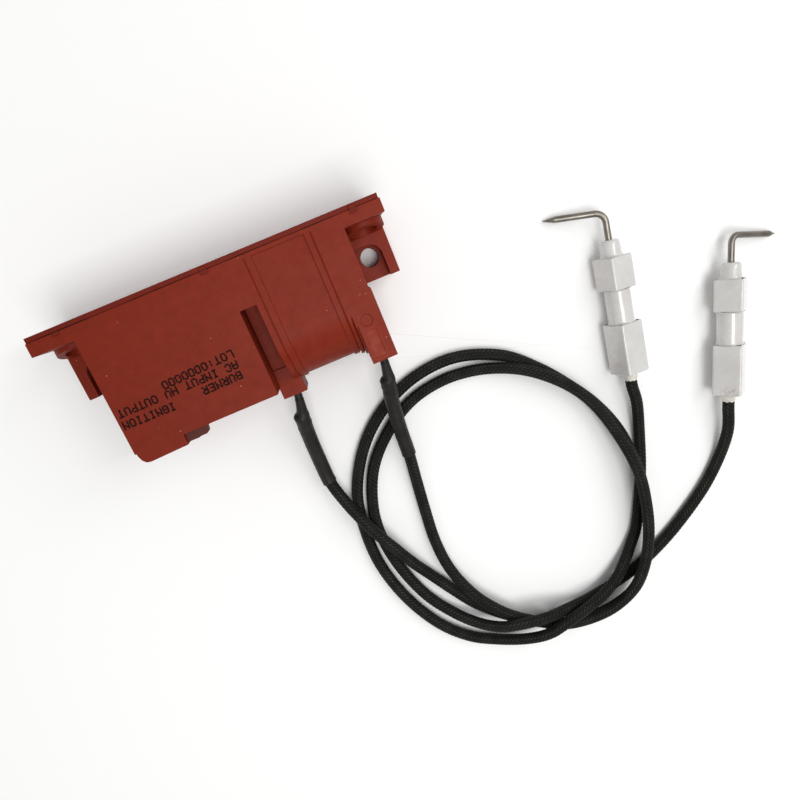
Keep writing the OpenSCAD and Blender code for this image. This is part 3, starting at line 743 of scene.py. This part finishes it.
def clean_shading():
    """Node group that joins the imported faces, drops their stored normals and smooths them."""
    group = bpy.data.node_groups.new("clean_shading", "GeometryNodeTree")
    group.interface.new_socket("Geometry", in_out="INPUT", socket_type="NodeSocketGeometry")
    group.interface.new_socket("Geometry", in_out="OUTPUT", socket_type="NodeSocketGeometry")
    source = group.nodes.new("NodeGroupInput")
    sink = group.nodes.new("NodeGroupOutput")
    drop = group.nodes.new("GeometryNodeRemoveAttribute")
    drop.inputs["Name"].default_value = "custom_normal"
    join = group.nodes.new("GeometryNodeMergeByDistance")
    join.inputs["Distance"].default_value = JOIN_WITHIN
    smooth = group.nodes.new("GeometryNodeSetShadeSmooth")
    group.links.new(source.outputs[0], drop.inputs[0])
    group.links.new(drop.outputs[0], join.inputs[0])
    group.links.new(join.outputs[0], smooth.inputs["Geometry"])
    group.links.new(smooth.outputs[0], sink.inputs[0])
    return group


CLEAN = clean_shading()
# Radii of the rounded edges, in millimetres
CERAMIC_EDGE = 0.45
MOULDED_EDGE = TAB_EDGE = 0.12
EDGE_RADIUS = {
    "housing_shell": MOULDED_EDGE, "base_cover": MOULDED_EDGE,
    "left_ceramic_body": CERAMIC_EDGE, "right_ceramic_body": CERAMIC_EDGE,
    "mains_tab_line": TAB_EDGE, "mains_tab_neutral": TAB_EDGE,
}
FLAT_WITHIN = math.radians(0.5)
SHARP_OVER = math.radians(32)


def soften(obj, radius):
    """Rounded edges: joins the imported faces, dissolves flat ones, bevels what is sharp."""
    obj.modifiers.new("clean", "NODES").node_group = CLEAN
    flat = obj.modifiers.new("flat", "DECIMATE")
    flat.decimate_type = "DISSOLVE"
    flat.angle_limit = FLAT_WITHIN
    if radius:
        edge = obj.modifiers.new("edge", "BEVEL")
        edge.width = radius * MM
        edge.segments = 3
        edge.limit_method = "ANGLE"
        edge.angle_limit = SHARP_OVER
        edge.miter_outer = "MITER_ARC"
        edge.use_clamp_overlap = False
    even = obj.modifiers.new("even", "WEIGHTED_NORMAL")
    even.keep_sharp = True
    even.weight = 80


def dress(obj, material):
    """Puts a material on every slot of an object."""
    if not obj.material_slots:
        obj.data.materials.append(material)
    for slot in obj.material_slots:
        slot.link = "OBJECT"
        slot.material = material


for name, obj in NODES.items():
    slot = obj.data.materials[0].name.split(".")[0] if obj.data.materials else ""
    if "ceramic" in name:
        dress(obj, CERAMIC[name.split("_")[0]])
    elif slot in LOOKS:
        dress(obj, LOOKS[slot])
    soften(obj, EDGE_RADIUS.get(name, 0))
for lead in LEADS.values():
    for slot, piece in lead.items():
        dress(piece, LOOKS[slot])

# ---- Printed marks on the case ----

# Dot matrix of each letter: seven rows of five dots, each row's dots as the bits of a number
FONT = {
    "A": (14, 17, 17, 31, 17, 17, 17), "B": (30, 17, 17, 30, 17, 17, 30),
    "C": (14, 17, 16, 16, 16, 17, 14), "E": (31, 16, 16, 30, 16, 16, 31),
    "G": (14, 17, 16, 23, 17, 17, 14), "H": (17, 17, 17, 31, 17, 17, 17),
    "I": (14, 4, 4, 4, 4, 4, 14), "L": (16, 16, 16, 16, 16, 16, 31),
    "N": (17, 25, 21, 19, 17, 17, 17), "O": (14, 17, 17, 17, 17, 17, 14),
    "P": (30, 17, 17, 30, 16, 16, 16), "R": (30, 17, 17, 30, 20, 18, 17),
    "T": (31, 4, 4, 4, 4, 4, 4), "U": (17, 17, 17, 17, 17, 17, 14),
    "V": (17, 17, 17, 17, 17, 10, 4), "0": (14, 17, 17, 17, 17, 17, 14),
    ":": (0, 4, 4, 0, 4, 4, 0), " ": (0, 0, 0, 0, 0, 0, 0),
}
LETTER_COLUMNS = 5
LETTER_PITCH = 6.2  # counted in dots
LETTER_STEPS = 6  # dots from a letter's top row to its bottom row
FACE_Z = 26.0
DOT_R = 0.23
DOT_RISE = 0.03
DOT_SIDES = 8
DOT_DRIFT = 0.03
# Each dot's outline: share of its radius, height from the face, and share of its own rise
DOT_LAYERS = ((1.0, -0.01, 0.0), (0.98, 0.0, 0.45), (0.6, 0.0, 1.0))
# Words, where the row starts and ends on the face. The rows read upside down
ROWS = [
    ("LOT:0000000", (-1.9, -7.3), (-19.7, -8.1)),
    ("AC INPUT HV OUTPUT", (-2.0, -10.0), (-31.6, -10.2)),
    ("BURNER", (-2.2, -12.5), (-12.1, -12.7)),
    ("IGNITION", (-18.9, -13.2), (-31.7, -13.0)),
]
ROW_HEIGHT = 1.6


def printed_dots():
    """Places of the ink dots on the face."""
    dots = []
    for words, start, end in ROWS:
        start, end = np.array(start), np.array(end)
        run = (end - start) / len(words)
        down = np.array([-run[1], run[0]]) / np.linalg.norm(run)
        # Rows read towards -X, so the foot of a letter lies towards +Y
        down = down if down[1] > 0 else -down
        for index, letter in enumerate(words):
            for row, bits in enumerate(FONT[letter]):
                above = down * ROW_HEIGHT * (0.5 - row / LETTER_STEPS)
                for column in range(LETTER_COLUMNS):
                    if bits >> (LETTER_COLUMNS - 1 - column) & 1:
                        at = start + run * (index + (column + 0.5) / LETTER_PITCH) - above
                        drift = [random.uniform(-DOT_DRIFT, DOT_DRIFT) for _ in range(2)]
                        dots.append(at + np.array(drift))
    return dots


def ink_marks():
    """One low mound of ink for each dot."""
    bm = bmesh.new()
    corners = [2 * math.pi * k / DOT_SIDES for k in range(DOT_SIDES)]
    for x, y in printed_dots():
        r = DOT_R * random.uniform(0.85, 1.12)
        rise = DOT_RISE * random.uniform(0.7, 1.0)
        layers = []
        for share, start, part in DOT_LAYERS:
            z = FACE_Z + (start + part * rise)
            layers.append([
                bm.verts.new((
                    (x + r * share * math.cos(q)) * MM, (y + r * share * math.sin(q)) * MM, z * MM
                ))
                for q in corners
            ])
        for lower, upper in zip(layers, layers[1:]):
            for k in range(DOT_SIDES):
                n = (k + 1) % DOT_SIDES
                bm.faces.new((lower[k], lower[n], upper[n], upper[k]))
        bm.faces.new(layers[-1])
        bm.faces.new(layers[0][::-1])
    for face in bm.faces:
        face.smooth = True
    mesh = bpy.data.meshes.new("printed_marks")
    bm.to_mesh(mesh)
    bm.free()
    return link("printed_marks", mesh)


COIL_AXIS_Y, COIL_AXIS_Z = -7.2, 13
COIL_R = 12.6
PIN_MARK_X = 17.6
PIN_MARK_TURN = math.radians(60.5)  # round the coil's axis, from straight up
PIN_MARK_R = 2.4
PIN_MARK_ARC = (-12, 204)  # start and sweep, in degrees
PIN_MARK_STEPS = 24
RIDGE_R = 0.07
RIDGE_CORNERS = 8
RIDGE_TIP_R = 0.005
RIDGE_FLATNESS = 0.7


def ejector_arc():
    """Faint half-round mark of a mould pin on the round of the coil housing."""
    start, sweep = PIN_MARK_ARC
    path = []
    for k in range(PIN_MARK_STEPS + 1):
        q = math.radians(start + sweep * k / PIN_MARK_STEPS)
        turn = PIN_MARK_TURN - PIN_MARK_R * math.sin(q) / COIL_R
        path.append((
            PIN_MARK_X + PIN_MARK_R * math.cos(q),
            COIL_AXIS_Y - COIL_R * math.sin(turn), COIL_AXIS_Z + COIL_R * math.cos(turn),
        ))
    path = np.array(path)
    ahead = np.gradient(path, axis=0)
    ahead /= np.linalg.norm(ahead, axis=1)[:, None]
    outward = path - np.array([0, COIL_AXIS_Y, COIL_AXIS_Z])
    outward[:, 0] = 0
    outward /= np.linalg.norm(outward, axis=1)[:, None]
    sides = np.cross(ahead, outward)
    angles = turns(len(path), RIDGE_CORNERS)
    radii = np.full(angles.shape, RIDGE_R)
    rings = ring_points(path, sides, outward * RIDGE_FLATNESS, radii, angles)
    tips = end_caps(path, sides, outward, RIDGE_TIP_R, angles)
    return closed_tube("mould_mark", np.concatenate([rings] + tips))


marks = ink_marks()
dress(marks, grained("printing_ink", "140604", "260d08", 0.6, 1500, gloss=0.08))
mould_mark = ejector_arc()
dress(mould_mark, LOOKS["housing"])
for piece in (marks, mould_mark):
    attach(piece, "root")

# ---- Floor and light ----

FLOOR_REACH = 3.0
FLOOR_Z = -0.05 * MM  # just clear of the lowest faces


def floor():
    """Plain pale floor."""
    mesh = bpy.data.meshes.new("floor")
    corners = ((-1, -1), (1, -1), (1, 1), (-1, 1))
    mesh.from_pydata(
        [(x * FLOOR_REACH, y * FLOOR_REACH, FLOOR_Z) for x, y in corners], [], [(0, 1, 2, 3)]
    )
    obj = link("floor", mesh)
    t = Tree("pale_floor")
    colour = t.mix(t.noise(3, 2.0), "f6f6f5", "f9f9f8")
    t.set(Base_Color=colour, Roughness=0.9, Specular_IOR_Level=0.1)
    dress(obj, t.material)


def lamp(name, place, aim, size, power):
    """Rectangular lamp that faces a point."""
    data = bpy.data.lights.new(name, "AREA")
    data.shape = "RECTANGLE"
    data.size, data.size_y = size
    data.energy = power
    obj = bpy.data.objects.new(name, data)
    obj.location = place
    obj.rotation_euler = (Vector(aim) - Vector(place)).to_track_quat("-Z", "Y").to_euler()
    bpy.context.scene.collection.objects.link(obj)


# Name, place, point aimed at, size, watts. The strips put the long glints on the ceramics
LAMPS = (
    ("key", (0.45, 0.15, 0.5), (0.03, -0.05, 0.0), (0.25, 0.5), 0.95),
    ("front", (0.04, -0.22, 0.7), (0.03, -0.04, 0.0), (0.3, 0.3), 2.0),
    ("strip_near", (0.23, -0.02, 0.7), (0.1, -0.04, 0.0), (0.02, 0.6), 0.6),
    ("strip_far", (0.3, -0.02, 0.68), (0.1, -0.04, 0.0), (0.012, 0.6), 0.3),
)
WORLD_STRENGTH = 0.48

floor()
for row in LAMPS:
    lamp(*row)
world = bpy.data.worlds.new("studio")
world.use_nodes = True
background = world.node_tree.nodes["Background"]
background.inputs["Color"].default_value = (1.0, 1.0, 1.0, 1.0)
background.inputs["Strength"].default_value = WORLD_STRENGTH
bpy.context.scene.world = world
bpy.context.scene.view_settings.view_transform = "Standard"
